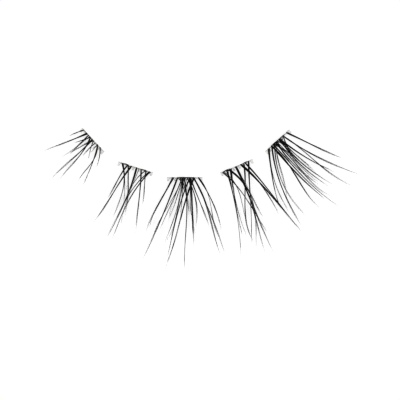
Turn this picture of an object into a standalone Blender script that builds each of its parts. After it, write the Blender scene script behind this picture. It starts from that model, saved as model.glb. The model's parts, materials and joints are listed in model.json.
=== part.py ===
"""A false eyelash strip in five loose segments, laid in an arc with the lash tips curling up.

Metres, +Z up. The lashes point to -Y. Each segment is a clear film band that lies on the surface,
with tufts of black lashes bonded one on another on top of its rail. Seen from above each lash is a
smooth line from the rail to its tip. Seen from the side it steps down off the film, lies along the
surface, and then follows one circle upwards.
"""
from collections import namedtuple
from math import ceil, cos, pi, radians, sin, sqrt

import bmesh
import bpy
from mathutils import Matrix, Vector

# The clear film bands, and how far apart they stand
SEGMENT_PITCH = 0.0082
BAND_LENGTH = 0.0057
FILM_THICKNESS = 0.00012
RAIL_DEPTH = 0.00026
TOOTH_DEPTH = 0.00062
TAB_WIDTH = 0.00036
TOOTH_WIDTH = 0.00026
FILM_CORNER = 0.00006

# The lashes
LASH_REACH = 0.0147
LASH_RADIUS = 0.0001
LASH_SIDES = 5
LASH_TAPER = 1.7
LAID_LENGTH = 0.0036
STEP_LENGTH = 0.0010
CURL_ANGLE = radians(50)
CURL_PITCH = 0.0032

# The bar that holds a tuft's roots together
BAR_DEPTH = 0.00016
BAR_THICKNESS = 0.00011
BAR_OVERHANG = 0.00012

# Clearance between pieces that lie on each other
GAP = 0.00002

# One row for each segment, from the inner to the outer corner of the eye. Length is a share of the
# band length and reach one of the lash reach. Along and back place the middle of the band's back edge
# against that of the middle segment, as shares of the pitch, and turn is in degrees.
SegmentRow = namedtuple("SegmentRow", "name length reach along back turn")
SEGMENT_ROWS = [
    SegmentRow("inner", 0.912, 0.633, -1.780, 0.727, -47.2),
    SegmentRow("inner_mid", 1.018, 0.830, -0.956, 0.200, -17.4),
    SegmentRow("middle", 1.0, 1.0, 0.0, 0.0, 0.0),
    SegmentRow("outer_mid", 0.982, 1.0, 1.005, 0.220, 22.6),
    SegmentRow("outer", 0.912, 0.959, 1.800, 0.717, 42.5),
]
Segment = namedtuple("Segment", "name length reach x y turn")
SEGMENTS = [
    Segment(
        row.name,
        row.length * BAND_LENGTH,
        row.reach * LASH_REACH,
        row.along * SEGMENT_PITCH,
        row.back * SEGMENT_PITCH,
        row.turn,
    )
    for row in SEGMENT_ROWS
]

# Where the film's inner teeth stand, as shares of the band's length
TEETH = {
    "inner": [0.80],
    "inner_mid": [0.45, 0.61],
    "middle": [0.22],
    "outer_mid": [0.40, 0.57],
    "outer": [0.14],
}

# One row for each lash. Root, third, far and tip say where it runs across the band, as shares of the
# band's length, at its root, at one and two thirds of the way out, and at its tip. Reach is how far
# out it goes as a share of the segment's reach, and girth its thickness as a share of a full lash.
Lash = namedtuple("Lash", "root third far tip reach girth")
TUFTS = {
    "inner": {
        "upright": [
            Lash(0.29, 0.30, 0.31, 0.325, 0.49, 1.0),
            Lash(0.37, 0.545, 0.61, 0.67, 0.88, 1.0),
            Lash(0.47, 0.49, 0.48, 0.50, 1.0, 1.0),
            Lash(0.61, 0.60, 0.61, 0.63, 0.34, 0.8),
        ],
        "nose": [
            Lash(0.08, 0.01, -0.05, -0.10, 0.26, 1.0),
            Lash(0.21, 0.06, -0.12, -0.29, 0.76, 1.0),
            Lash(0.24, 0.11, -0.02, -0.14, 0.56, 0.8),
            Lash(0.37, 0.315, 0.24, 0.15, 0.28, 1.0),
            Lash(0.52, 0.43, 0.36, 0.29, 0.45, 1.0),
        ],
        "temple": [
            Lash(0.52, 0.595, 0.705, 0.82, 0.29, 0.8),
            Lash(0.71, 0.70, 0.69, 0.68, 0.12, 0.9),
            Lash(0.68, 0.945, 1.02, 1.11, 0.67, 1.0),
            Lash(0.70, 0.94, 1.135, 1.32, 0.66, 1.0),
            Lash(0.80, 0.96, 1.075, 1.18, 0.27, 1.0),
        ],
    },
    "inner_mid": {
        "rising": [
            Lash(0.10, 0.32, 0.352, 0.33, 0.72, 1.0),
            Lash(0.13, 0.285, 0.40, 0.48, 0.50, 0.8),
            Lash(0.28, 0.43, 0.55, 0.60, 0.66, 0.8),
            Lash(0.655, 0.805, 0.92, 1.05, 0.83, 1.0),
            Lash(0.79, 0.86, 0.935, 0.99, 0.45, 0.9),
        ],
        "nose": [
            Lash(0.28, 0.165, 0.10, 0.03, 0.50, 0.9),
            Lash(0.41, 0.19, 0.04, -0.15, 0.84, 1.0),
            Lash(0.54, 0.525, 0.445, 0.32, 0.99, 1.0),
        ],
        "back": [
            Lash(0.82, 0.585, 0.515, 0.46, 0.59, 0.9),
            Lash(0.93, 0.62, 0.485, 0.405, 0.79, 1.0),
            Lash(0.96, 0.65, 0.527, 0.49, 1.0, 1.0),
        ],
    },
    "middle": {
        "upright": [
            Lash(0.45, 0.56, 0.52, 0.49, 1.0, 1.0),
            Lash(0.36, 0.51, 0.595, 0.63, 0.43, 0.9),
            Lash(0.66, 0.66, 0.655, 0.72, 0.45, 0.8),
            Lash(0.57, 0.70, 0.73, 0.76, 0.74, 1.0),
            Lash(0.55, 0.765, 0.84, 0.81, 0.54, 0.8),
        ],
        "nose": [
            Lash(0.17, -0.09, -0.365, -0.58, 0.57, 1.0),
            Lash(0.20, -0.08, -0.33, -0.49, 0.54, 0.8),
            Lash(0.30, 0.005, -0.31, -0.67, 0.86, 1.0),
            Lash(0.34, 0.05, -0.24, -0.55, 0.78, 0.9),
            Lash(0.44, 0.18, -0.15, -0.40, 0.65, 0.9),
        ],
        "sweep": [
            Lash(0.40, 0.23, 0.02, -0.20, 0.57, 0.9),
            Lash(0.43, 0.34, 0.20, 0.03, 0.47, 0.8),
            Lash(0.47, 0.36, 0.18, -0.05, 0.70, 0.9),
            Lash(0.53, 0.365, 0.18, 0.02, 0.85, 1.0),
            Lash(0.65, 0.39, 0.245, -0.05, 0.95, 1.0),
            Lash(0.77, 0.62, 0.48, 0.40, 0.47, 0.9),
        ],
        "temple": [
            Lash(0.65, 0.83, 1.02, 1.19, 0.54, 1.0),
            Lash(0.73, 1.085, 1.285, 1.50, 0.84, 1.0),
            Lash(0.75, 1.09, 1.385, 1.63, 0.84, 0.9),
            Lash(0.86, 1.175, 1.39, 1.53, 0.57, 1.0),
            Lash(0.89, 1.19, 1.285, 1.45, 0.65, 0.8),
        ],
    },
    "outer_mid": {
        "nose": [
            Lash(0.20, 0.085, -0.105, -0.37, 0.90, 1.0),
            Lash(0.33, 0.15, 0.04, 0.01, 0.73, 1.0),
            Lash(0.35, 0.15, 0.0, -0.10, 0.72, 0.8),
            Lash(0.09, 0.285, 0.235, 0.15, 0.62, 0.8),
        ],
        "upright": [
            Lash(0.06, 0.35, 0.475, 0.60, 0.78, 1.0),
            Lash(0.23, 0.48, 0.585, 0.64, 0.62, 1.0),
            Lash(0.47, 0.505, 0.50, 0.525, 1.0, 1.0),
        ],
        "sweep": [
            Lash(0.73, 0.47, 0.185, 0.14, 0.82, 1.0),
            Lash(0.88, 0.61, 0.35, 0.05, 0.82, 1.0),
            Lash(0.26, 0.55, 0.425, 0.10, 0.90, 0.9),
            Lash(0.49, 0.51, 0.42, 0.31, 0.96, 0.9),
        ],
        "temple": [
            Lash(0.62, 0.97, 1.23, 1.46, 0.89, 1.0),
            Lash(0.76, 1.03, 1.25, 1.48, 0.90, 0.9),
            Lash(0.64, 0.90, 1.03, 1.11, 0.67, 0.8),
        ],
    },
    "outer": {
        "upright": [
            Lash(0.24, 0.26, 0.11, 0.06, 0.84, 1.0),
            Lash(0.27, 0.255, 0.28, 0.36, 0.86, 1.0),
            Lash(0.33, 0.33, 0.365, 0.53, 1.0, 1.0),
            Lash(0.45, 0.45, 0.41, 0.54, 0.85, 1.0),
            Lash(0.40, 0.40, 0.41, 0.52, 0.68, 0.8),
        ],
        "nose": [
            Lash(0.14, -0.23, -0.565, -0.82, 0.58, 1.0),
            Lash(0.17, -0.30, -0.56, -0.72, 0.70, 0.9),
            Lash(0.30, -0.215, -0.525, -0.72, 0.875, 1.0),
            Lash(0.42, -0.125, -0.37, -0.42, 0.82, 1.0),
            Lash(0.45, 0.09, -0.17, -0.50, 0.57, 0.8),
        ],
        "full": [
            Lash(0.60, 0.52, 0.57, 0.70, 0.76, 1.0),
            Lash(0.56, 0.56, 0.66, 0.85, 0.78, 1.0),
            Lash(0.58, 0.60, 0.655, 0.71, 0.49, 0.8),
            Lash(0.58, 0.71, 0.89, 1.15, 0.70, 1.0),
        ],
        "temple": [
            Lash(0.73, 0.94, 1.255, 1.65, 0.90, 1.0),
            Lash(0.70, 0.885, 0.99, 1.23, 0.92, 1.0),
            Lash(0.87, 1.105, 1.335, 1.60, 0.64, 1.0),
        ],
    },
}

# Heights that follow from the sizes above
LEVEL_PITCH = 2 * LASH_RADIUS + GAP
LAID_HEIGHT = LASH_RADIUS * cos(pi / LASH_SIDES)
ROOT_HEIGHT = FILM_THICKNESS + GAP + LASH_RADIUS
ROOT_START = (RAIL_DEPTH - BAR_DEPTH) / 2
STEP_START = TOOTH_DEPTH + GAP


def clear_scene():
    for old in list(bpy.data.objects):
        bpy.data.objects.remove(old)


def plain_material(name, color, roughness, alpha):
    material = bpy.data.materials.new(name)
    material.use_nodes = True
    shader = material.node_tree.nodes["Principled BSDF"]
    shader.inputs["Base Color"].default_value = (*color, 1.0)
    shader.inputs["Roughness"].default_value = roughness
    shader.inputs["Metallic"].default_value = 0.0
    shader.inputs["Alpha"].default_value = alpha
    return material


def film_material():
    return plain_material("clear_film", (0.80, 0.80, 0.79), 0.32, 0.55)


def lash_material():
    return plain_material("black_lash_fibre", (0.012, 0.012, 0.013), 0.42, 1.0)


def mesh_object(name, bm, material):
    """Writes the mesh into a new object with faces pointing out, and gives it its material."""
    bmesh.ops.recalc_face_normals(bm, faces=bm.faces)
    mesh = bpy.data.meshes.new(name)
    bm.to_mesh(mesh)
    bm.free()
    mesh.materials.append(material)
    piece = bpy.data.objects.new(name, mesh)
    bpy.context.scene.collection.objects.link(piece)
    return piece


def across_band(segment, share):
    """Where this share of the band's length lies, from the band's middle."""
    return (share - 1 / 2) * segment.length


def film_outline(segment):
    """The film seen from above: back edge at y = 0, and a tab or tooth wherever one stands."""
    half = segment.length / 2
    stops = [(-half, -half + TAB_WIDTH)]
    for share in TEETH[segment.name]:
        middle = across_band(segment, share)
        stops.append((middle - TOOTH_WIDTH / 2, middle + TOOTH_WIDTH / 2))
    stops.append((half - TAB_WIDTH, half))
    outline = [(half, 0.0), (-half, 0.0)]
    for left, right in stops:
        if left > -half:
            outline.append((left, -RAIL_DEPTH))
        outline.append((left, -TOOTH_DEPTH))
        outline.append((right, -TOOTH_DEPTH))
        if right < half:
            outline.append((right, -RAIL_DEPTH))
    return outline


def film_band(segment, material):
    """The outline raised to the film's thickness, with its upright corners rounded."""
    bm = bmesh.new()
    floor = bm.faces.new([bm.verts.new((x, y, 0.0)) for x, y in film_outline(segment)])
    raised = bmesh.ops.extrude_face_region(bm, geom=[floor])
    top = [item for item in raised["geom"] if isinstance(item, bmesh.types.BMVert)]
    bmesh.ops.translate(bm, verts=top, vec=(0.0, 0.0, FILM_THICKNESS))
    upright = [edge for edge in bm.edges if abs(edge.verts[0].co.z - edge.verts[1].co.z) > 0]
    bmesh.ops.bevel(bm, geom=upright, offset=FILM_CORNER, segments=1, affect="EDGES")
    return mesh_object("band_" + segment.name, bm, material)


def across_at(lash, share):
    """The cubic through the row's four places, at this share of the way from root to tip."""
    a, b, c, d = share, share - 1 / 3, share - 2 / 3, share - 1
    return (
        -4.5 * lash.root * b * c * d
        + 13.5 * lash.third * a * c * d
        - 13.5 * lash.far * a * b * d
        + 4.5 * lash.tip * a * b * c
    )


def height_at(segment, out):
    """Height of a bottom lash's middle: off the film, along the surface, then up one circle."""
    if out < STEP_START:
        return ROOT_HEIGHT
    if out < STEP_START + STEP_LENGTH:
        share = (out - STEP_START) / STEP_LENGTH
        return ROOT_HEIGHT + (LAID_HEIGHT - ROOT_HEIGHT) * share
    if out <= LAID_LENGTH:
        return LAID_HEIGHT
    radius = (segment.reach - LAID_LENGTH) / sin(CURL_ANGLE)
    return LAID_HEIGHT + radius - sqrt(radius**2 - (out - LAID_LENGTH) ** 2)


def lash_point(segment, lash, level, out):
    """A point on the lash's middle line, this far out from the band's back edge."""
    end = lash.reach * segment.reach
    share = (out - ROOT_START) / (end - ROOT_START)
    x = across_band(segment, across_at(lash, share))
    return Vector((x, -out, height_at(segment, out) + level * LEVEL_PITCH))


def lash_stations(segment, lash):
    """How far out each ring of the lash lies: at each change of height, then evenly to the tip."""
    end = lash.reach * segment.reach
    bends = [STEP_START, STEP_START + STEP_LENGTH, LAID_LENGTH]
    fixed = [ROOT_START] + [out for out in bends if out < 0.85 * end]
    count = ceil((end - fixed[-1]) / CURL_PITCH)
    return fixed + [fixed[-1] + (end - fixed[-1]) * k / count for k in range(1, count + 1)]


def single_lash(segment, lash, level):
    """Rings of five points along the middle line, thinning to one point at the tip."""
    bm = bmesh.new()
    stations = lash_stations(segment, lash)
    path = [lash_point(segment, lash, level, out) for out in stations]
    rings = []
    for k, middle in enumerate(path[:-1]):
        along = (path[k + 1] - path[max(k - 1, 0)]).normalized()
        side = along.cross(Vector((0.0, 0.0, 1.0))).normalized()
        up = side.cross(along)
        share = (stations[k] - stations[0]) / (stations[-1] - stations[0])
        radius = LASH_RADIUS * lash.girth * (1 - share**LASH_TAPER)
        turns = [2 * pi * n / LASH_SIDES for n in range(LASH_SIDES)]
        rings.append([bm.verts.new(middle + radius * (up * cos(a) + side * sin(a))) for a in turns])
    tip = bm.verts.new(path[-1])
    bm.faces.new(rings[0])
    for ring, following in zip(rings, rings[1:]):
        for n in range(LASH_SIDES):
            m = (n + 1) % LASH_SIDES
            bm.faces.new([ring[n], ring[m], following[m], following[n]])
    for n in range(LASH_SIDES):
        bm.faces.new([rings[-1][n], rings[-1][(n + 1) % LASH_SIDES], tip])
    return bm


def root_bar(segment, lashes, level):
    """A small box along the rail, from the tuft's first root to its last."""
    roots = [lash.root for lash in lashes]
    left = across_band(segment, min(roots)) - BAR_OVERHANG
    right = across_band(segment, max(roots)) + BAR_OVERHANG
    height = ROOT_HEIGHT + level * LEVEL_PITCH
    middle = Vector(((left + right) / 2, -RAIL_DEPTH / 2, height))
    bm = bmesh.new()
    size = Matrix.Diagonal((right - left, BAR_DEPTH, BAR_THICKNESS, 1.0))
    bmesh.ops.create_cube(bm, size=1.0, matrix=Matrix.Translation(middle) @ size)
    return bm


def lash_tuft(segment, tuft, lashes, level, material):
    """The bar with its lashes joined to it and to each other where they cross, as one body."""
    name = "lashes_" + segment.name + "_" + tuft
    piece = mesh_object(name, root_bar(segment, lashes, level), material)
    strands = []
    for lash in lashes:
        strand = mesh_object("strand", single_lash(segment, lash, level), material)
        join = piece.modifiers.new("join", "BOOLEAN")
        join.operation = "UNION"
        join.solver = "EXACT"
        join.object = strand
        strands.append(strand)
    graph = bpy.context.evaluated_depsgraph_get()
    fused = bpy.data.meshes.new_from_object(piece.evaluated_get(graph))
    piece.modifiers.clear()
    piece.data = fused
    fused.name = name
    for strand in strands:
        bpy.data.objects.remove(strand)
    fused.shade_smooth()
    fused.set_sharp_from_angle(angle=radians(80))
    return piece


def place_on(parent, name, location, turn):
    """An empty that carries pieces, placed and turned about Z on its parent."""
    empty = bpy.data.objects.new(name, None)
    bpy.context.scene.collection.objects.link(empty)
    empty.parent = parent
    empty.location = location
    empty.rotation_euler = (0.0, 0.0, radians(turn))
    return empty


def box_middle(pieces):
    """The middle, in plan, of the box round the pieces."""
    bpy.context.view_layer.update()
    corners = [piece.matrix_world @ vertex.co for piece in pieces for vertex in piece.data.vertices]
    xs = [corner.x for corner in corners]
    ys = [corner.y for corner in corners]
    return Vector(((min(xs) + max(xs)) / 2, (min(ys) + max(ys)) / 2, 0.0))


def build():
    clear_scene()
    film = film_material()
    fibre = lash_material()
    whole = place_on(None, "lash_strip", (0.0, 0.0, 0.0), 0.0)
    pieces = []
    for segment in SEGMENTS:
        carrier = place_on(whole, "segment_" + segment.name, (segment.x, segment.y, 0.0), segment.turn)
        made = [film_band(segment, film)]
        for level, (tuft, lashes) in enumerate(TUFTS[segment.name].items()):
            made.append(lash_tuft(segment, tuft, lashes, level, fibre))
        for piece in made:
            piece.parent = carrier
        pieces += made
    whole.location = -box_middle(pieces)
    bpy.context.view_layer.update()
    return pieces


build()
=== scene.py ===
import json
import math

import bpy
import numpy as np
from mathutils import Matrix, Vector


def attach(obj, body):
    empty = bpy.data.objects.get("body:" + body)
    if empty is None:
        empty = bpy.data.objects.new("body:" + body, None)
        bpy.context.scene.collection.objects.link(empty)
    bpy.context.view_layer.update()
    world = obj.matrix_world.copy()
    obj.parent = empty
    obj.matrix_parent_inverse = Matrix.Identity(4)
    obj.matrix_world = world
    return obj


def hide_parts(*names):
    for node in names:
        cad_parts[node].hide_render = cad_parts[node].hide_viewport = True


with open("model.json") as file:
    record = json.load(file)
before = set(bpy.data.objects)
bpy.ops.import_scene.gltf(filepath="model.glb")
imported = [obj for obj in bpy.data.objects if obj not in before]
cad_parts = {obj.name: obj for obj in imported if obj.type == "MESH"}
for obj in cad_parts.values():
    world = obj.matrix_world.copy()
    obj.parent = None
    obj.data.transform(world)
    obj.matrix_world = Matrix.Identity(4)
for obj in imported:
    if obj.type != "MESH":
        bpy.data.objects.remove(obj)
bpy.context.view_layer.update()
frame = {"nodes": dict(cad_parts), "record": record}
mounts = {mount["name"]: mount["pos_m"] for mount in frame["record"]["mounts"]}
print("frame loaded:", len(frame["nodes"]), "nodes")

mm = 0.001

# How the picture is framed: the middle band's back edge stands at this pixel, and a pixel is this wide.
picture = {
    "anchorX": 184.75,
    "anchorY": 177.2,
    "pixel": 0.16 * mm,
    "width": 400,
    "distance": 0.9,
    "sensor": 36.0,
    "gamma": 0.6,             # hairs thinner than a pixel keep the weight they have in the photo
}

# Sizes that all five segments share, as in the solids
film = {
    "thickness": 0.12 * mm,
    "railDepth": 0.26 * mm,
    "toothDepth": 0.62 * mm,
    "tabWidth": 0.36 * mm,
    "toothWidth": 0.26 * mm,
    "corner": 0.05 * mm,
    "gap": 0.02 * mm,
    "sideSlope": 0.008 * mm,  # how sharply the tabs and teeth rise from the rail
    "profilePoints": 16,
    "alongPoints": 420,
    "cornerPoints": 8,
    "squareness": 5,
    "endFall": 0.5,           # how much lower the ends get as they draw in, as a share of that
    "rimWidth": 0.07 * mm,
}

fibre = {
    "radius": 0.122 * mm,     # of a full lash near its root
    "sides": 8,
    "rings": 40,
    "crowding": 0.94,         # below one, rings stand a little closer together towards the tip
    "tipPower": 0.38,         # how late it thins
    "bodyStart": 0.04,        # where on the way the thick root part is lost
    "bodyEnd": 0.36,
    "thinnest": 0.03,         # the least radius, as a share of a full lash's
    "roundedEnd": 0.012,      # the share of the way over which the root's end is rounded off
    "rounding": 0.9,
    "rootStart": 0.01 * mm,
    "rootHeight": 0.240 * mm, # how high a lash's middle line lies on the film
    "stepStart": film["toothDepth"] + film["gap"],
    "stepLength": 1.0 * mm,   # the stretch that comes down off the film
    "laidHeight": 0.081 * mm, # how high it lies along the surface
    "laidLength": 3.6 * mm,   # where it begins to curl up
    "clearance": 0.004 * mm,  # between the surface and any fibre
    "curlAngle": math.radians(50),
    # each fibre of a lash: its place sideways and upwards, its radius and its length, as shares
    "strands": [
        (-0.50, -0.06, 0.36, 0.95),
        (-0.24, 0.16, 0.38, 0.98),
        (0.01, -0.10, 0.40, 1.0),
        (0.26, 0.15, 0.38, 0.97),
        (0.51, -0.07, 0.35, 0.93),
    ],
    "narrowing": 0.85,        # how much closer together they are at the tip
    "drawnIn": 0.55,          # how wide a lash still is at its very root, where it is fused
    "drawnLength": 0.45 * mm,
    "endSpread": 0.06,        # how much earlier a short fibre may end
    "turns": 0.30,            # how far the bundle turns about itself at most
    "spread": 0.160 * mm,     # how far apart a lash's outer fibres get at most
    "opening": (0.10, 0.55),  # where on the way they begin to part
    "closing": 1.02,          # where they would meet again, just past the tip
    "partingPower": 1.2,      # how gently they part
    "splay": 0.05 * mm,       # how far their ends stray
    "splayPower": 4,          # how late they stray
    "droop": 0.10,            # how much flatter some lashes curl
    "fineShare": 0.78,        # how thick the hairs between the tufts are
    "fineLevel": 0.5,         # how high those lie, counted in tufts
    "pitch": 0.22 * mm,       # how much higher each further tuft lies
    "squeeze": 0.45,          # what is left of that at the roots, where all are fused together
    "settle": 2.6 * mm,       # how far out the tufts are fully apart
    "softness": 0.02,         # how gently the roots climb over the tufts under them
}

# Each row of a tuft, and of the fine hairs between the tufts, is a lash: where it runs across the band
# at its root, one and two thirds out and at its tip, as shares of the band, then its reach as a share
# of the segment's, and its girth. Each row of the arcs is a short fibre along the rail: from and to
# as shares of the band, how far out its ends and its middle lie in millimetres, and its girth.
# Tail says how thick the outer parts stay, and weight how thick all lashes of the segment are.
innerSegment = {
    "turn": -47.2, "length": 5.2 * mm, "reach": 9.3 * mm, "teeth": [0.80],
    "tail": 0.43, "weight": 1.03,
    "tufts": {
        "upright": [
            (0.29, 0.30, 0.31, 0.325, 0.49, 1.0),
            (0.37, 0.545, 0.61, 0.67, 0.88, 1.0),
            (0.47, 0.49, 0.48, 0.50, 1.0, 1.0),
            (0.61, 0.60, 0.61, 0.63, 0.34, 0.8),
        ],
        "nose": [
            (0.08, 0.01, -0.05, -0.10, 0.26, 1.0),
            (0.21, 0.06, -0.12, -0.29, 0.76, 1.0),
            (0.24, 0.11, -0.02, -0.14, 0.56, 0.8),
            (0.37, 0.315, 0.24, 0.15, 0.28, 1.0),
            (0.52, 0.43, 0.36, 0.29, 0.45, 1.0),
        ],
        "temple": [
            (0.52, 0.595, 0.705, 0.82, 0.29, 0.8),
            (0.71, 0.70, 0.69, 0.68, 0.12, 0.9),
            (0.68, 0.945, 1.02, 1.11, 0.67, 1.0),
            (0.70, 0.94, 1.135, 1.32, 0.66, 1.0),
            (0.80, 0.96, 1.075, 1.18, 0.27, 1.0),
        ],
    },
    "fine": [
        (0.34, 0.32, 0.28, 0.22, 0.60, 0.5),
        (0.46, 0.44, 0.40, 0.38, 0.26, 0.8),
        (0.66, 0.70, 0.72, 0.74, 0.20, 0.5),
    ],
    "arcs": [
        (0.08, 0.50, 0.05, 0.05, 0.3),
        (0.42, 0.56, 0.10, 0.22, 0.8),
    ],
}

innerMidSegment = {
    "turn": -17.4, "length": 5.8 * mm, "reach": 12.2 * mm, "teeth": [0.45, 0.61],
    "tail": 0.50, "weight": 1.06,
    "tufts": {
        "rising": [
            (0.10, 0.32, 0.352, 0.33, 0.72, 1.0),
            (0.13, 0.285, 0.40, 0.48, 0.50, 0.8),
            (0.28, 0.43, 0.55, 0.60, 0.66, 0.8),
            (0.655, 0.805, 0.92, 1.05, 0.83, 1.0),
            (0.79, 0.86, 0.935, 0.99, 0.45, 0.75),
        ],
        "nose": [
            (0.28, 0.165, 0.10, 0.03, 0.50, 1.1),
            (0.39, 0.19, 0.04, -0.15, 0.85, 1.3),
            (0.53, 0.525, 0.445, 0.32, 1.0, 1.35),
        ],
        "back": [
            (0.80, 0.585, 0.515, 0.46, 0.59, 0.65),
            (0.91, 0.62, 0.485, 0.405, 0.79, 0.75),
            (0.92, 0.65, 0.527, 0.49, 1.0, 0.85),
        ],
    },
    "fine": [
        (0.30, 0.36, 0.41, 0.44, 0.34, 0.5),
        (0.60, 0.56, 0.54, 0.60, 0.80, 0.5),
    ],
    "arcs": [
        (0.14, 0.30, 0.10, 0.02, 0.9),
        (0.24, 0.40, 0.12, 0.26, 0.6),
        (0.65, 0.84, 0.16, 0.06, 0.9),
        (0.80, 0.94, 0.12, 0.48, 0.6),
    ],
}

middleSegment = {
    "turn": 0.0, "length": 5.7 * mm, "reach": 14.7 * mm, "teeth": [0.22],
    "tail": 0.54, "weight": 1.04,
    "tufts": {
        "upright": [
            (0.48, 0.56, 0.52, 0.49, 1.0, 1.0),
            (0.40, 0.52, 0.595, 0.63, 0.43, 0.8),
            (0.66, 0.66, 0.655, 0.72, 0.45, 0.8),
            (0.62, 0.70, 0.73, 0.76, 0.74, 1.0),
            (0.55, 0.765, 0.84, 0.81, 0.54, 0.8),
        ],
        "nose": [
            (0.17, -0.09, -0.365, -0.58, 0.58, 1.15),
            (0.20, -0.08, -0.33, -0.49, 0.54, 0.8),
            (0.30, 0.005, -0.31, -0.67, 0.88, 0.9),
            (0.31, 0.05, -0.24, -0.55, 0.78, 0.75),
            (0.43, 0.18, -0.15, -0.40, 0.65, 0.6),
        ],
        "sweep": [
            (0.43, 0.235, 0.02, -0.20, 0.57, 0.65),
            (0.46, 0.33, 0.20, 0.03, 0.47, 0.55),
            (0.47, 0.36, 0.18, -0.05, 0.70, 0.9),
            (0.65, 0.375, 0.18, 0.02, 0.87, 1.0),
            (0.76, 0.465, 0.245, -0.05, 0.98, 1.1),
            (0.77, 0.62, 0.48, 0.40, 0.47, 0.8),
        ],
        "temple": [
            (0.65, 0.83, 1.02, 1.19, 0.54, 1.0),
            (0.73, 1.085, 1.285, 1.50, 0.84, 1.0),
            (0.75, 1.09, 1.385, 1.63, 0.84, 0.9),
            (0.87, 1.175, 1.39, 1.53, 0.57, 0.9),
            (0.88, 1.18, 1.285, 1.45, 0.65, 0.6),
        ],
    },
    "fine": [
        (0.66, 0.685, 0.715, 0.75, 0.62, 1.3),
        (0.64, 0.69, 0.71, 0.73, 0.64, 1.4),
        (0.65, 0.71, 0.725, 0.80, 0.63, 0.7),
        (0.45, 0.37, 0.25, 0.115, 0.66, 0.9),
        (0.47, 0.335, 0.22, -0.10, 0.74, 0.4),
        (0.47, 0.44, 0.41, 0.38, 0.44, 0.6),
        (0.44, 0.29, 0.14, 0.05, 0.45, 0.4),
        (0.36, 0.40, 0.46, 0.49, 0.17, 1.2),
        (0.50, 0.57, 0.59, 0.62, 0.22, 0.5),
    ],
    "arcs": [
        (0.30, 0.56, 0.08, 0.03, 1.0),
        (0.44, 0.80, 0.12, 0.06, 1.0),
        (0.31, 0.40, 0.10, 0.42, 0.8),
        (0.50, 0.60, 0.14, 0.40, 0.8),
        (0.62, 0.72, 0.12, 0.44, 0.8),
    ],
}

outerMidSegment = {
    "turn": 22.6, "length": 5.6 * mm, "reach": 14.7 * mm, "teeth": [0.40, 0.57],
    "tail": 0.57, "weight": 1.08,
    "tufts": {
        "nose": [
            (0.20, 0.085, -0.105, -0.38, 0.93, 0.95),
            (0.33, 0.15, 0.04, 0.01, 0.74, 0.8),
            (0.35, 0.15, 0.0, -0.10, 0.74, 0.65),
            (0.09, 0.285, 0.235, 0.15, 0.62, 0.6),
        ],
        "upright": [
            (0.06, 0.34, 0.475, 0.60, 0.80, 0.85),
            (0.24, 0.50, 0.585, 0.64, 0.63, 0.85),
            (0.47, 0.505, 0.50, 0.53, 1.03, 1.0),
        ],
        "sweep": [
            (0.73, 0.47, 0.185, 0.13, 0.83, 1.05),
            (0.88, 0.61, 0.35, 0.05, 0.84, 1.15),
            (0.27, 0.55, 0.425, 0.10, 0.92, 0.7),
            (0.49, 0.51, 0.42, 0.30, 0.98, 0.85),
        ],
        "temple": [
            (0.62, 0.97, 1.23, 1.46, 0.91, 1.05),
            (0.76, 1.03, 1.25, 1.49, 0.92, 1.05),
            (0.64, 0.90, 1.03, 1.11, 0.67, 0.8),
        ],
    },
    "fine": [
        (0.24, 0.19, 0.17, 0.15, 0.28, 0.7),
        (0.31, 0.24, 0.20, 0.18, 0.26, 0.6),
        (0.45, 0.52, 0.56, 0.58, 0.40, 0.6),
    ],
    "arcs": [
        (0.08, 0.34, 0.10, 0.02, 1.0),
        (0.20, 0.34, 0.12, 0.24, 0.9),
        (0.62, 0.74, 0.12, 0.08, 0.7),
        (0.72, 0.86, 0.08, 0.02, 0.9),
    ],
}

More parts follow.
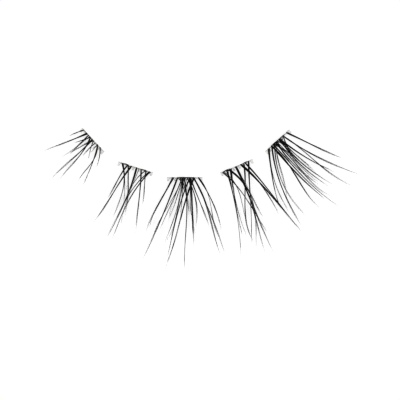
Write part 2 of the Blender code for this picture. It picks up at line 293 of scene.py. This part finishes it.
outerSegment = {
    "turn": 42.5, "length": 5.2 * mm, "reach": 14.1 * mm, "teeth": [0.14],
    "tail": 0.57, "weight": 1.08,
    "tufts": {
        "upright": [
            (0.24, 0.26, 0.11, 0.06, 0.88, 1.0),
            (0.27, 0.255, 0.28, 0.36, 0.86, 1.0),
            (0.33, 0.33, 0.365, 0.53, 1.02, 0.9),
            (0.40, 0.445, 0.41, 0.54, 0.87, 0.85),
            (0.43, 0.387, 0.41, 0.52, 0.68, 0.65),
        ],
        "nose": [
            (0.14, -0.23, -0.565, -0.82, 0.58, 1.15),
            (0.18, -0.28, -0.56, -0.72, 0.70, 0.7),
            (0.28, -0.215, -0.525, -0.73, 0.90, 1.1),
            (0.40, -0.125, -0.37, -0.42, 0.84, 0.8),
            (0.45, 0.09, -0.17, -0.50, 0.57, 0.6),
        ],
        "full": [
            (0.60, 0.52, 0.57, 0.70, 0.78, 0.85),
            (0.56, 0.56, 0.66, 0.85, 0.80, 0.85),
            (0.58, 0.60, 0.655, 0.71, 0.49, 0.8),
            (0.58, 0.71, 0.89, 1.15, 0.70, 1.25),
        ],
        "temple": [
            (0.73, 0.94, 1.255, 1.66, 0.92, 0.9),
            (0.72, 0.885, 0.99, 1.23, 0.93, 0.8),
            (0.87, 1.105, 1.335, 1.60, 0.64, 1.15),
        ],
    },
    "fine": [
        (0.75, 0.62, 0.55, 0.49, 0.34, 1.0),
        (0.34, 0.44, 0.52, 0.57, 0.30, 0.9),
        (0.50, 0.42, 0.37, 0.33, 0.30, 0.9),
        (0.50, 0.56, 0.58, 0.60, 0.34, 0.6),
        (0.64, 0.56, 0.48, 0.44, 0.40, 0.6),
        (0.44, 0.44, 0.45, 0.52, 0.68, 0.6),
        (0.46, 0.485, 0.50, 0.57, 0.66, 0.6),
        (0.60, 0.62, 0.66, 0.72, 0.56, 0.5),
    ],
    "arcs": [
        (0.22, 0.48, 0.06, 0.03, 1.0),
        (0.40, 0.62, 0.10, 0.07, 1.0),
        (0.58, 0.76, 0.10, 0.08, 0.8),
        (0.24, 0.33, 0.12, 0.42, 1.0),
        (0.36, 0.46, 0.10, 0.50, 1.0),
        (0.48, 0.57, 0.10, 0.50, 1.0),
        (0.56, 0.70, 0.14, 0.48, 0.9),
    ],
}

segments = {
    "inner": innerSegment,
    "inner_mid": innerMidSegment,
    "middle": middleSegment,
    "outer_mid": outerMidSegment,
    "outer": outerSegment,
}


def meshPiece(name, points, faces, uv, material, rim=None):
    # one mesh from arrays: places, three- and four-sided faces with a UV pair for each of their corners,
    # and how near the piece's rim each place is, where a finish reads that
    corners = np.concatenate([face.ravel() for face in faces])
    sizes = np.concatenate([np.full(len(face), face.shape[1]) for face in faces])
    starts = np.concatenate([[0], np.cumsum(sizes)[:-1]])
    mesh = bpy.data.meshes.new(name)
    mesh.vertices.add(len(points))
    mesh.vertices.foreach_set("co", points.astype(np.float32).ravel())
    mesh.loops.add(len(corners))
    mesh.loops.foreach_set("vertex_index", corners.astype(np.int32))
    mesh.polygons.add(len(sizes))
    mesh.polygons.foreach_set("loop_start", starts.astype(np.int32))
    mesh.update(calc_edges=True)
    layer = mesh.uv_layers.new(name="along")
    layer.data.foreach_set("uv", np.concatenate([part.ravel() for part in uv]).astype(np.float32))
    if rim is not None:
        mesh.attributes.new("rim", "FLOAT", "POINT").data.foreach_set("value", rim.astype(np.float32))
    mesh.shade_smooth()
    mesh.materials.append(material)
    piece = bpy.data.objects.new(name, mesh)
    bpy.context.scene.collection.objects.link(piece)
    return piece


def joinRings(points):
    # points (count, rings, sides, 3): rings joined into closed skins, each drawn in at both ends to the
    # middle of its first and last ring
    count, rings, sides = points.shape[:3]
    skin = np.arange(count * rings * sides).reshape(count, rings, sides)
    start = count * rings * sides + np.arange(count)[:, None]
    finish = start + count
    places = np.concatenate([
        points.reshape(-1, 3),
        points[:, 0].mean(axis=1),
        points[:, -1].mean(axis=1),
    ])
    onward = np.roll(skin, -1, axis=2)
    quads = np.stack([skin[:, :-1], skin[:, 1:], onward[:, 1:], onward[:, :-1]], axis=-1)
    first = np.stack(np.broadcast_arrays(start, skin[:, 0], onward[:, 0]), axis=-1)
    last = np.stack(np.broadcast_arrays(finish, onward[:, -1], skin[:, -1]), axis=-1)
    u = np.arange(sides + 1) / sides
    v = np.linspace(0, 1, rings)[:, None]
    quadUv = np.stack([
        np.stack(np.broadcast_arrays(u[:-1], v[:-1]), axis=-1),
        np.stack(np.broadcast_arrays(u[:-1], v[1:]), axis=-1),
        np.stack(np.broadcast_arrays(u[1:], v[1:]), axis=-1),
        np.stack(np.broadcast_arrays(u[1:], v[:-1]), axis=-1),
    ], axis=-2)
    fanUv = np.stack([np.stack([u[:-1], 0 * u[:-1]], axis=-1)] * 3, axis=-2)
    faces = [quads.reshape(-1, 4), first.reshape(-1, 3), last.reshape(-1, 3)]
    uv = [
        np.broadcast_to(quadUv, (count,) + quadUv.shape),
        np.broadcast_to(fanUv, (count,) + fanUv.shape),
        np.broadcast_to(fanUv + [0, 1], (count,) + fanUv.shape),
    ]
    return places, faces, uv


def ringsAlong(middle, radius, sides):
    # a circle of each radius, square to the middle line (count, rings, 3) at each of its places
    along = np.gradient(middle, axis=1)
    along /= np.linalg.norm(along, axis=2, keepdims=True)
    side = np.cross(along, [0.0, 0.0, 1.0])
    side /= np.linalg.norm(side, axis=2, keepdims=True)
    up = np.cross(side, along)
    turn = np.linspace(0, 2 * math.pi, sides, endpoint=False)[:, None]
    circle = up[:, :, None] * np.cos(turn) - side[:, :, None] * np.sin(turn)
    return middle[:, :, None] + radius[:, :, None, None] * circle


def intoPlace(name, points):
    # from the band's own axes, back edge at y = 0, to the frame: turned about Z, then moved
    angle = math.radians(segments[name]["turn"])
    across = np.array([math.cos(angle), math.sin(angle), 0.0])
    back = np.array([-math.sin(angle), math.cos(angle), 0.0])
    backEdge = np.array(mounts["bond_face_" + name]) + back * film["railDepth"] / 2
    return points[:, :1] * across + points[:, 1:2] * back + points[:, 2:] * [0, 0, 1] + backEdge


def cubicThrough(root, third, far, tip, share):
    # the cubic curve through four places, at shares 0, 1/3, 2/3 and 1 of the way: each place times the
    # distances to the other three shares, over what they come to at its own (2/9 or 2/27)
    a, b, c, d = share, share - 1 / 3, share - 2 / 3, share - 1
    return -4.5 * root * b * c * d + 13.5 * third * a * c * d - 13.5 * far * a * b * d + 4.5 * tip * a * b * c


def lashHeight(out, reach):
    # off the film, down a step to the surface, along it, then up a circle that is as steep as the
    # curl angle at the segment's reach, and level past that
    step = np.clip((out - fibre["stepStart"]) / fibre["stepLength"], 0, 1)
    fall = (fibre["rootHeight"] - fibre["laidHeight"]) * step**2 * (3 - 2 * step)
    radius = (reach - fibre["laidLength"]) / math.sin(fibre["curlAngle"])
    past = np.clip(out - fibre["laidLength"], 0, reach - fibre["laidLength"])
    return fibre["rootHeight"] - fall, radius - np.sqrt(radius**2 - past**2)


def rootLift(name, level, place):
    # the roots rest on the film, or on as many of the lower tufts as run under that place of the rail:
    # a smooth count of them, by an S curve up just before each tuft's first root and down past its last
    count = 0 * place
    for rows in list(segments[name]["tufts"].values())[:math.ceil(level)]:
        roots = np.array(rows)[:, 0]
        rise = 1 / (1 + np.exp((roots.min() - place) / fibre["softness"] - 1))
        drop = 1 / (1 + np.exp((place - roots.max()) / fibre["softness"] - 1))
        count = count + rise * drop
    return count * fibre["pitch"] * fibre["squeeze"]


def levelLift(name, level, place, out):
    # from the root's own lift by a smooth step to the tuft's full one
    share = np.clip(out / fibre["settle"], 0, 1)
    low = rootLift(name, level, place)
    return low + (level * fibre["pitch"] - low) * share**2 * (3 - 2 * share)


def lashPiece(label, name, rows, level, seed):
    # each lash is five fibres side by side, fused at the root, parted a little halfway and together
    # again at the tip.
    # A fibre's middle = the lash's own line + its place in the bundle, turned slowly about that line.
    # Its radius = root radius * (tail share * a power of what is left of the way, and the rest times
    # one less a smooth step), rounded off at the root.
    segment = segments[name]
    rows = np.array(rows)
    rng = np.random.default_rng(seed)
    lashes = len(rows)
    root, third, far, tip, reach, girth = (rows[:, k, None, None] for k in range(6))
    girth = girth * segment["weight"]
    strand = np.array(fibre["strands"]).T[:, None, :, None]
    mirrored = np.where(rng.random((lashes, 1, 1)) < 0.5, -1, 1)
    own = np.linspace(0, 1, fibre["rings"]) ** fibre["crowding"]
    ends = strand[3] - fibre["endSpread"] * rng.random((lashes, strand.shape[2], 1)) * (strand[3] < 1)
    share = own * ends
    start = fibre["rootStart"]
    out = start + (reach * segment["reach"] - start) * share
    across = (cubicThrough(root, third, far, tip, share) - 0.5) * segment["length"]
    laid, curl = lashHeight(out, segment["reach"])
    droop = 1 - fibre["droop"] * rng.random((lashes, 1, 1))
    height = laid + curl * droop + levelLift(name, level, root, out)
    slope = np.gradient(across, axis=2) / np.gradient(out, axis=2)
    turn = fibre["turns"] * 2 * math.pi * share * rng.uniform(-1, 1, (lashes, 1, 1))
    drawn = np.clip(out / fibre["drawnLength"], 0, 1)
    fused = fibre["drawnIn"] + (1 - fibre["drawnIn"]) * drawn**2 * (3 - 2 * drawn)
    bundle = fibre["radius"] * girth * fused * (1 - fibre["narrowing"] * share)
    opening = rng.uniform(*fibre["opening"], (lashes, 1, 1))
    parting = np.clip((share - opening) / (fibre["closing"] - opening), 0, 1)
    parted = np.sin(math.pi * parting) ** fibre["partingPower"]
    gap = fibre["spread"] * rng.uniform(0.1, 1, (lashes, 1, 1)) * parted
    splay = fibre["splay"] * rng.normal(0, 1, ends.shape) * share ** fibre["splayPower"]
    turned = strand[0] * np.cos(turn) - strand[1] * np.sin(turn)
    sideways = mirrored * (bundle * turned + gap * strand[0]) + splay
    upward = bundle * (strand[0] * np.sin(turn) + strand[1] * np.cos(turn))
    norm = np.sqrt(1 + slope**2)
    x = across + sideways / norm
    y = -out + sideways * slope / norm
    body = np.clip((own - fibre["bodyStart"]) / (fibre["bodyEnd"] - fibre["bodyStart"]), 0, 1)
    tail = segment["tail"]
    thin = tail * (1 - own) ** fibre["tipPower"] + (1 - tail) * (1 - body**2 * (3 - 2 * body))
    rounded = np.sqrt(1 - fibre["rounding"] * (1 - np.minimum(own / fibre["roundedEnd"], 1)) ** 2)
    radius = fibre["radius"] * girth * strand[2] * thin * rounded
    radius = np.maximum(radius, fibre["thinnest"] * fibre["radius"])
    z = np.maximum(height + upward, radius + fibre["clearance"])
    middle = np.stack([x, y, z], axis=-1).reshape(-1, fibre["rings"], 3)
    rings = ringsAlong(middle, radius.reshape(-1, fibre["rings"]), fibre["sides"])
    places, faces, uv = joinRings(rings)
    piece = meshPiece(label, intoPlace(name, places), faces, uv, lashFinish)
    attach(piece, "root")
    return piece


# The short fibres along the rail
arcs = {
    "rings": 24,
    "radius": 0.30,           # as a share of a full lash
    "apart": 0.030 * mm,
    "lift": 0.12 * mm,
    "sway": 0.4,              # how far the two pass over each other, as a share of a full lash
    "blunt": 0.02,            # how much of the half turn is left out at each end
    "fullness": 0.35,         # below one: thick for most of the way
}


def rootArcs(name):
    # short fibres along the rail that tie roots together. Out = ends + (middle - ends) * sine of half
    # a turn, and two fibres lie side by side, each thinning at both its ends.
    segment = segments[name]
    rows = np.array(segment["arcs"])
    start, finish, ends, bow, girth = (rows[:, k, None, None] for k in range(5))
    own = np.linspace(0, 1, arcs["rings"])
    side = np.array([-1, 1])[None, :, None]
    share = start + (finish - start) * own + 0 * side
    out = mm * (ends + (bow - ends) * np.sin(math.pi * own)) + arcs["apart"] * side * girth
    thick = np.sin(math.pi * (arcs["blunt"] + (1 - 2 * arcs["blunt"]) * own)) ** arcs["fullness"]
    radius = fibre["radius"] * arcs["radius"] * girth * thick + 0 * side
    sway = arcs["sway"] * fibre["radius"] * np.sin(2 * math.pi * own) * side
    height = fibre["rootHeight"] + arcs["lift"] + sway
    middle = np.stack(np.broadcast_arrays((share - 0.5) * segment["length"], -out, height), axis=-1)
    middle = middle.reshape(-1, arcs["rings"], 3)
    rings = ringsAlong(middle, radius.reshape(-1, arcs["rings"]), fibre["sides"])
    places, faces, uv = joinRings(rings)
    piece = meshPiece("rootArcs_" + name, intoPlace(name, places), faces, uv, lashFinish)
    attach(piece, "root")


def frontDepth(name, x):
    # how deep the film is at each place across the band: the rail, and smooth tabs and teeth on it
    segment = segments[name]
    half = segment["length"] / 2
    soft, tooth = film["sideSlope"], film["toothWidth"] / 2
    stops = [(-half, -half + film["tabWidth"]), (half - film["tabWidth"], half)]
    middles = [(share - 0.5) * segment["length"] for share in segment["teeth"]]
    stops += [(middle - tooth, middle + tooth) for middle in middles]
    lift = 0 * x
    for left, right in stops:
        rise = 1 / (1 + np.exp(-(x - left) / soft)) if left > -half else 1
        drop = 1 / (1 + np.exp((x - right) / soft)) if right < half else 1
        lift = np.maximum(lift, rise * drop)
    return film["railDepth"] + (film["toothDepth"] - film["railDepth"]) * lift


def filmBand(name):
    # a rounded oblong profile carried across the band, as deep as the film is there. The profile is
    # |y/a|^p + |z/b|^p = 1, and at both ends it draws in along a quarter circle.
    half = segments[name]["length"] / 2
    corner = film["corner"]
    quarter = corner * (1 - np.cos(np.linspace(0, math.pi / 2, film["cornerPoints"])))
    between = np.linspace(-half + corner, half - corner, film["alongPoints"])[1:-1]
    x = np.concatenate([-half + quarter, between, half - quarter[::-1]])
    toEnd = np.clip(half - np.abs(x), 0, corner)
    inset = (corner - np.sqrt(np.maximum(corner**2 - (corner - toEnd) ** 2, 0)))[:, None]
    depth = frontDepth(name, x)[:, None]
    count = film["profilePoints"]
    turn = np.linspace(0, 2 * math.pi, count, endpoint=False) + math.pi / count
    power = 2 / film["squareness"]
    thick = film["thickness"] / 2
    y = np.sign(np.cos(turn)) * np.abs(np.cos(turn)) ** power * (depth / 2 - inset) - depth / 2
    z = np.sign(np.sin(turn)) * np.abs(np.sin(turn)) ** power * (thick - film["endFall"] * inset) + thick
    points = np.stack(np.broadcast_arrays(x[:, None], y, z), axis=-1)[None]
    places, faces, uv = joinRings(points)
    edge = np.concatenate([np.stack([x, 0 * x], axis=-1), np.stack([x, -depth[:, 0]], axis=-1)])
    far = np.abs(places[:, None, :2] - edge[None]).sum(axis=2).min(axis=1)
    rim = np.clip(1 - far / film["rimWidth"], 0, 1)
    piece = meshPiece("film_" + name, intoPlace(name, places), faces, uv, filmFinish, rim)
    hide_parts("band_" + name)
    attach(piece, "root")


# The clear bead that holds a tuft's roots
glue = {
    "overhang": 0.10 * mm,
    "depth": 0.23 * mm,
    "height": 0.17 * mm,
    "sink": 0.05 * mm,        # how far its middle lies under the roots' middle
    "swelling": 0.22,
    "swellWidth": 0.09 * mm,
    "endPower": 24,           # how late it draws in at its ends
    "leastEnd": 0.002,
    "rings": 90,
    "sides": 10,
}


def glueLine(name):
    # one clear bead for each tuft, along its roots: an oval carried from the first root to the last.
    # Its radius = plain radius * (1 + swelling at each root) * root of (1 - a high power of how near
    # an end it is).
    segment = segments[name]
    beads = []
    for level, rows in enumerate(segment["tufts"].values()):
        roots = (np.array(rows)[:, 0] - 0.5) * segment["length"]
        share = np.linspace(0, 1, glue["rings"])
        x = roots.min() - glue["overhang"] + share * (np.ptp(roots) + 2 * glue["overhang"])
        swell = np.exp(-(((x[:, None] - roots) / glue["swellWidth"]) ** 2)).max(axis=1)
        ends = np.maximum(1 - (2 * share - 1) ** glue["endPower"], glue["leastEnd"])
        size = (1 + glue["swelling"] * swell) * np.sqrt(ends)
        turn = np.linspace(0, 2 * math.pi, glue["sides"], endpoint=False)
        y = -film["railDepth"] / 2 + glue["depth"] / 2 * size[:, None] * np.cos(turn)
        middle = fibre["rootHeight"] + rootLift(name, level, x / segment["length"] + 0.5) - glue["sink"]
        z = middle[:, None] + glue["height"] / 2 * size[:, None] * np.sin(turn)
        beads.append(np.stack(np.broadcast_arrays(x[:, None], y, z), axis=-1))
    places, faces, uv = joinRings(np.stack(beads))
    piece = meshPiece("glue_" + name, intoPlace(name, places), faces, uv, glueFinish)
    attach(piece, "root")


def newGroup(name, inputs, outputs):
    group = bpy.data.node_groups.new(name, "ShaderNodeTree")
    for label, kind, value in inputs:
        socket = group.interface.new_socket(label, in_out="INPUT", socket_type=kind)
        if value is not None:
            socket.default_value = value
    for label, kind in outputs:
        group.interface.new_socket(label, in_out="OUTPUT", socket_type=kind)
    return group, group.nodes.new("NodeGroupInput"), group.nodes.new("NodeGroupOutput")


def grainGroup():
    # fine streaks along a piece: noise on stretched coordinates, then (noise - 0.5) * contrast + 0.5
    group, given, result = newGroup(
        "drawnGrain",
        [
            ("Place", "NodeSocketVector", None),
            ("Stretch", "NodeSocketVector", (1, 1, 1)),
            ("Contrast", "NodeSocketFloat", 1),
        ],
        [("Streak", "NodeSocketFloat")],
    )
    nodes, link = group.nodes, group.links.new
    scaled = nodes.new("ShaderNodeVectorMath")
    scaled.operation = "MULTIPLY"
    noise = nodes.new("ShaderNodeTexNoise")
    noise.inputs["Scale"].default_value = 1
    noise.inputs["Detail"].default_value = 3
    spread = nodes.new("ShaderNodeMath")
    spread.operation = "MULTIPLY_ADD"
    spread.use_clamp = True
    middled = nodes.new("ShaderNodeMath")
    middled.operation = "SUBTRACT"
    middled.inputs[1].default_value = 0.5
    link(given.outputs["Place"], scaled.inputs[0])
    link(given.outputs["Stretch"], scaled.inputs[1])
    link(scaled.outputs[0], noise.inputs["Vector"])
    link(noise.outputs[0], middled.inputs[0])
    link(middled.outputs[0], spread.inputs[0])
    link(given.outputs["Contrast"], spread.inputs[1])
    spread.inputs[2].default_value = 0.5
    link(spread.outputs[0], result.inputs["Streak"])
    return group


def cloudGroup():
    # slow soft patches, from one value to another as the noise goes from 0.3 to 0.7
    group, given, result = newGroup(
        "softClouds",
        [
            ("Place", "NodeSocketVector", None),
            ("Scale", "NodeSocketFloat", 1000),
            ("Low", "NodeSocketFloat", 0),
            ("High", "NodeSocketFloat", 1),
        ],
        [("Value", "NodeSocketFloat")],
    )
    nodes, link = group.nodes, group.links.new
    noise = nodes.new("ShaderNodeTexNoise")
    noise.inputs["Detail"].default_value = 2
    span = nodes.new("ShaderNodeMapRange")
    span.inputs["From Min"].default_value = 0.3
    span.inputs["From Max"].default_value = 0.7
    link(given.outputs["Place"], noise.inputs["Vector"])
    link(given.outputs["Scale"], noise.inputs["Scale"])
    link(noise.outputs[0], span.inputs["Value"])
    link(given.outputs["Low"], span.inputs["To Min"])
    link(given.outputs["High"], span.inputs["To Max"])
    link(span.outputs[0], result.inputs["Value"])
    return group


def newFinish(name):
    material = bpy.data.materials.new(name)
    material.use_nodes = True
    nodes = material.node_tree.nodes
    return material, nodes, material.node_tree.links.new, nodes["Principled BSDF"]


def placeGroup(nodes, group, **values):
    node = nodes.new("ShaderNodeGroup")
    node.node_tree = group
    for label, value in values.items():
        node.inputs[label].default_value = value
    return node


def colorBetween(nodes, link, factor, dark, light, target):
    mix = nodes.new("ShaderNodeMix")
    mix.data_type = "RGBA"
    mix.inputs["A"].default_value = (*dark, 1)
    mix.inputs["B"].default_value = (*light, 1)
    link(factor, mix.inputs["Factor"])
    link(mix.outputs["Result"], target)


def valueBetween(nodes, link, factor, low, high, target):
    span = nodes.new("ShaderNodeMapRange")
    span.inputs["To Min"].default_value = low
    span.inputs["To Max"].default_value = high
    link(factor, span.inputs["Value"])
    link(span.outputs[0], target)


def addBump(nodes, link, height, strength, distance, target):
    bump = nodes.new("ShaderNodeBump")
    bump.inputs["Strength"].default_value = strength
    bump.inputs["Distance"].default_value = distance
    link(height, bump.inputs["Height"])
    link(bump.outputs["Normal"], target)


lashLook = {
    "dark": (0.006, 0.006, 0.007),
    # lighter streak colour: partly the fibre's own grain, partly a painted sheen
    "light": (0.045, 0.041, 0.038),
    "roughness": (0.24, 0.42),
    "specular": 0.40,
    "stretch": (9, 14, 1),
    "contrast": 2.2,
    "patches": 900,
    "relief": (0.35, 0.006 * mm),  # the bump's strength and depth, here and in the other finishes
}


def makeLashFinish(grain, clouds):
    # black drawn fibre: streaks along it in colour, sheen and relief, and slow brown-black patches; the
    # lighter colour streaks are partly the fibre's own grain and partly a painted sheen
    material, nodes, link, shader = newFinish("blackLashFibre")
    uv = nodes.new("ShaderNodeUVMap")
    uv.uv_map = "along"
    place = nodes.new("ShaderNodeTexCoord")
    streak = placeGroup(nodes, grain, Stretch=lashLook["stretch"], Contrast=lashLook["contrast"])
    patch = placeGroup(nodes, clouds, Scale=lashLook["patches"], Low=0, High=1)
    link(uv.outputs[0], streak.inputs["Place"])
    link(place.outputs["Object"], patch.inputs["Place"])
    # streak times patch: where the lighter colour shows, partly grain and partly painted sheen
    both = nodes.new("ShaderNodeMath")
    both.operation = "MULTIPLY"
    link(streak.outputs[0], both.inputs[0])
    link(patch.outputs[0], both.inputs[1])
    colors = lashLook["dark"], lashLook["light"]
    colorBetween(nodes, link, both.outputs[0], *colors, shader.inputs["Base Color"])
    valueBetween(nodes, link, streak.outputs[0], *lashLook["roughness"], shader.inputs["Roughness"])
    addBump(nodes, link, streak.outputs[0], *lashLook["relief"], shader.inputs["Normal"])
    shader.inputs["Specular IOR Level"].default_value = lashLook["specular"]
    return material


filmLook = {
    "color": (0.66, 0.66, 0.65),
    "rimColor": (0.40, 0.40, 0.39),
    "alpha": (0.17, 0.29),
    "rimAlpha": 0.46,
    "roughness": (0.22, 0.42),
    "stretch": (5, 60, 1),
    "contrast": 1.6,
    "patches": 700,
    "relief": (0.12, 0.004 * mm),
}


def makeFilmFinish(grain, clouds):
    # milky clear film: more solid along its rim and in slow patches, with faint drawn lines
    material, nodes, link, shader = newFinish("milkyFilm")
    uv = nodes.new("ShaderNodeUVMap")
    uv.uv_map = "along"
    place = nodes.new("ShaderNodeTexCoord")
    rim = nodes.new("ShaderNodeAttribute")
    rim.attribute_name = "rim"
    streak = placeGroup(nodes, grain, Stretch=filmLook["stretch"], Contrast=filmLook["contrast"])
    low, high = filmLook["alpha"]
    patch = placeGroup(nodes, clouds, Scale=filmLook["patches"], Low=low, High=high)
    link(uv.outputs[0], streak.inputs["Place"])
    link(place.outputs["Object"], patch.inputs["Place"])
    solid = nodes.new("ShaderNodeMath")
    solid.operation = "MULTIPLY_ADD"
    solid.use_clamp = True
    solid.inputs[1].default_value = filmLook["rimAlpha"]
    link(rim.outputs["Fac"], solid.inputs[0])
    link(patch.outputs[0], solid.inputs[2])
    link(solid.outputs[0], shader.inputs["Alpha"])
    colors = filmLook["color"], filmLook["rimColor"]
    colorBetween(nodes, link, rim.outputs["Fac"], *colors, shader.inputs["Base Color"])
    valueBetween(nodes, link, streak.outputs[0], *filmLook["roughness"], shader.inputs["Roughness"])
    addBump(nodes, link, streak.outputs[0], *filmLook["relief"], shader.inputs["Normal"])
    return material


glueLook = {
    "color": (0.93, 0.93, 0.92),
    "tint": (0.86, 0.86, 0.84),
    "roughness": (0.06, 0.16),
    "bend": 1.45,             # how strongly the gel bends light
    "patches": 2600,
    "relief": (0.2, 0.02 * mm),
}


def makeGlueFinish(clouds):
    # set gel: glass-clear, with slow patches that are a little duller
    material, nodes, link, shader = newFinish("clearGlue")
    place = nodes.new("ShaderNodeTexCoord")
    patch = placeGroup(nodes, clouds, Scale=glueLook["patches"], Low=0, High=1)
    link(place.outputs["Object"], patch.inputs["Place"])
    colors = glueLook["color"], glueLook["tint"]
    colorBetween(nodes, link, patch.outputs[0], *colors, shader.inputs["Base Color"])
    valueBetween(nodes, link, patch.outputs[0], *glueLook["roughness"], shader.inputs["Roughness"])
    addBump(nodes, link, patch.outputs[0], *glueLook["relief"], shader.inputs["Normal"])
    shader.inputs["Transmission Weight"].default_value = 1
    shader.inputs["IOR"].default_value = glueLook["bend"]
    return material


floorLook = {
    "size": 12.0,
    "below": 0.005 * mm,      # how far it lies under the part
    "white": 0.24,
    "glow": 0.80,
    "roughness": (0.6, 0.7),
    "specular": 0.1,
    "patches": 300,
}


def makeFloorFinish(clouds):
    # plain white card, lit and glowing a little, so that it stays white without a shadow
    material, nodes, link, shader = newFinish("whiteCard")
    place = nodes.new("ShaderNodeTexCoord")
    low, high = floorLook["roughness"]
    patch = placeGroup(nodes, clouds, Scale=floorLook["patches"], Low=low, High=high)
    link(place.outputs["Object"], patch.inputs["Place"])
    link(patch.outputs[0], shader.inputs["Roughness"])
    shader.inputs["Base Color"].default_value = (floorLook["white"],) * 3 + (1,)
    shader.inputs["Specular IOR Level"].default_value = floorLook["specular"]
    shader.inputs["Emission Color"].default_value = (1, 1, 1, 1)
    shader.inputs["Emission Strength"].default_value = floorLook["glow"]
    return material


lighting = {
    "room": 0.35,
    "horizon": 0.87,          # what the camera sees past the floor
    "aim": (0, 0, 0),
    "lamps": [
        # name, place, size, power
        ("keyLamp", (-0.35, 0.30, 0.42), 0.30, 1.6),
        ("fillLamp", (0.42, 0.05, 0.36), 0.34, 1.0),
        ("rimLamp", (0.05, -0.45, 0.30), 0.30, 0.9),
    ],
}


def areaLight(name, place, aim, size, power):
    data = bpy.data.lights.new(name, "AREA")
    data.shape = "DISK"
    data.size = size
    data.energy = power
    light = bpy.data.objects.new(name, data)
    light.location = place
    light.rotation_euler = (Vector(aim) - Vector(place)).to_track_quat("-Z", "Y").to_euler()
    bpy.context.scene.collection.objects.link(light)


grain, clouds = grainGroup(), cloudGroup()
lashFinish = makeLashFinish(grain, clouds)
filmFinish = makeFilmFinish(grain, clouds)
glueFinish = makeGlueFinish(clouds)
floorFinish = makeFloorFinish(clouds)
print("finishes made")

seedStep, fineSeed = 100, 50
for number, (name, segment) in enumerate(segments.items()):
    seed = seedStep * number
    filmBand(name)
    glueLine(name)
    rootArcs(name)
    fine = [(*row[:5], row[5] * fibre["fineShare"]) for row in segment["fine"]]
    lashPiece("fine_" + name, name, fine, fibre["fineLevel"], seed + fineSeed)
    for level, (tuft, rows) in enumerate(segment["tufts"].items()):
        piece = lashPiece("tuft_" + name + "_" + tuft, name, rows, level, seed + level)
        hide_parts("lashes_" + name + "_" + tuft)
    print("segment made:", name)

floorMesh = bpy.data.meshes.new("floor")
far, low = floorLook["size"] / 2, -floorLook["below"]
floorMesh.from_pydata(
    [(-far, -far, low), (far, -far, low), (far, far, low), (-far, far, low)],
    [],
    [(0, 1, 2, 3)],
)
floorMesh.materials.append(floorFinish)
floor = bpy.data.objects.new("floor", floorMesh)
bpy.context.scene.collection.objects.link(floor)

world = bpy.data.worlds.new("softRoom")
world.use_nodes = True
background = world.node_tree.nodes["Background"]
background.inputs["Color"].default_value = (1, 1, 1, 1)
rays = world.node_tree.nodes.new("ShaderNodeLightPath")
valueBetween(
    world.node_tree.nodes, world.node_tree.links.new, rays.outputs["Is Camera Ray"],
    lighting["room"], lighting["horizon"], background.inputs["Strength"],
)
bpy.context.scene.world = world
for name, place, size, power in lighting["lamps"]:
    areaLight(name, place, lighting["aim"], size, power)
print("floor and lights made")

backEdge = np.array(mounts["bond_face_middle"]) + [0, film["railDepth"] / 2, 0]
half = picture["width"] / 2
camera = bpy.data.objects.new("camera", bpy.data.cameras.new("camera"))
camera.data.sensor_width = picture["sensor"]
camera.data.lens = picture["sensor"] * picture["distance"] / (picture["width"] * picture["pixel"])
camera.location = (
    backEdge[0] + (half - picture["anchorX"]) * picture["pixel"],
    backEdge[1] - (half - picture["anchorY"]) * picture["pixel"],
    picture["distance"],
)
bpy.context.scene.collection.objects.link(camera)
bpy.context.scene.camera = camera
bpy.context.scene.view_settings.view_transform = "Standard"
bpy.context.scene.view_settings.gamma = picture["gamma"]
print("camera set")
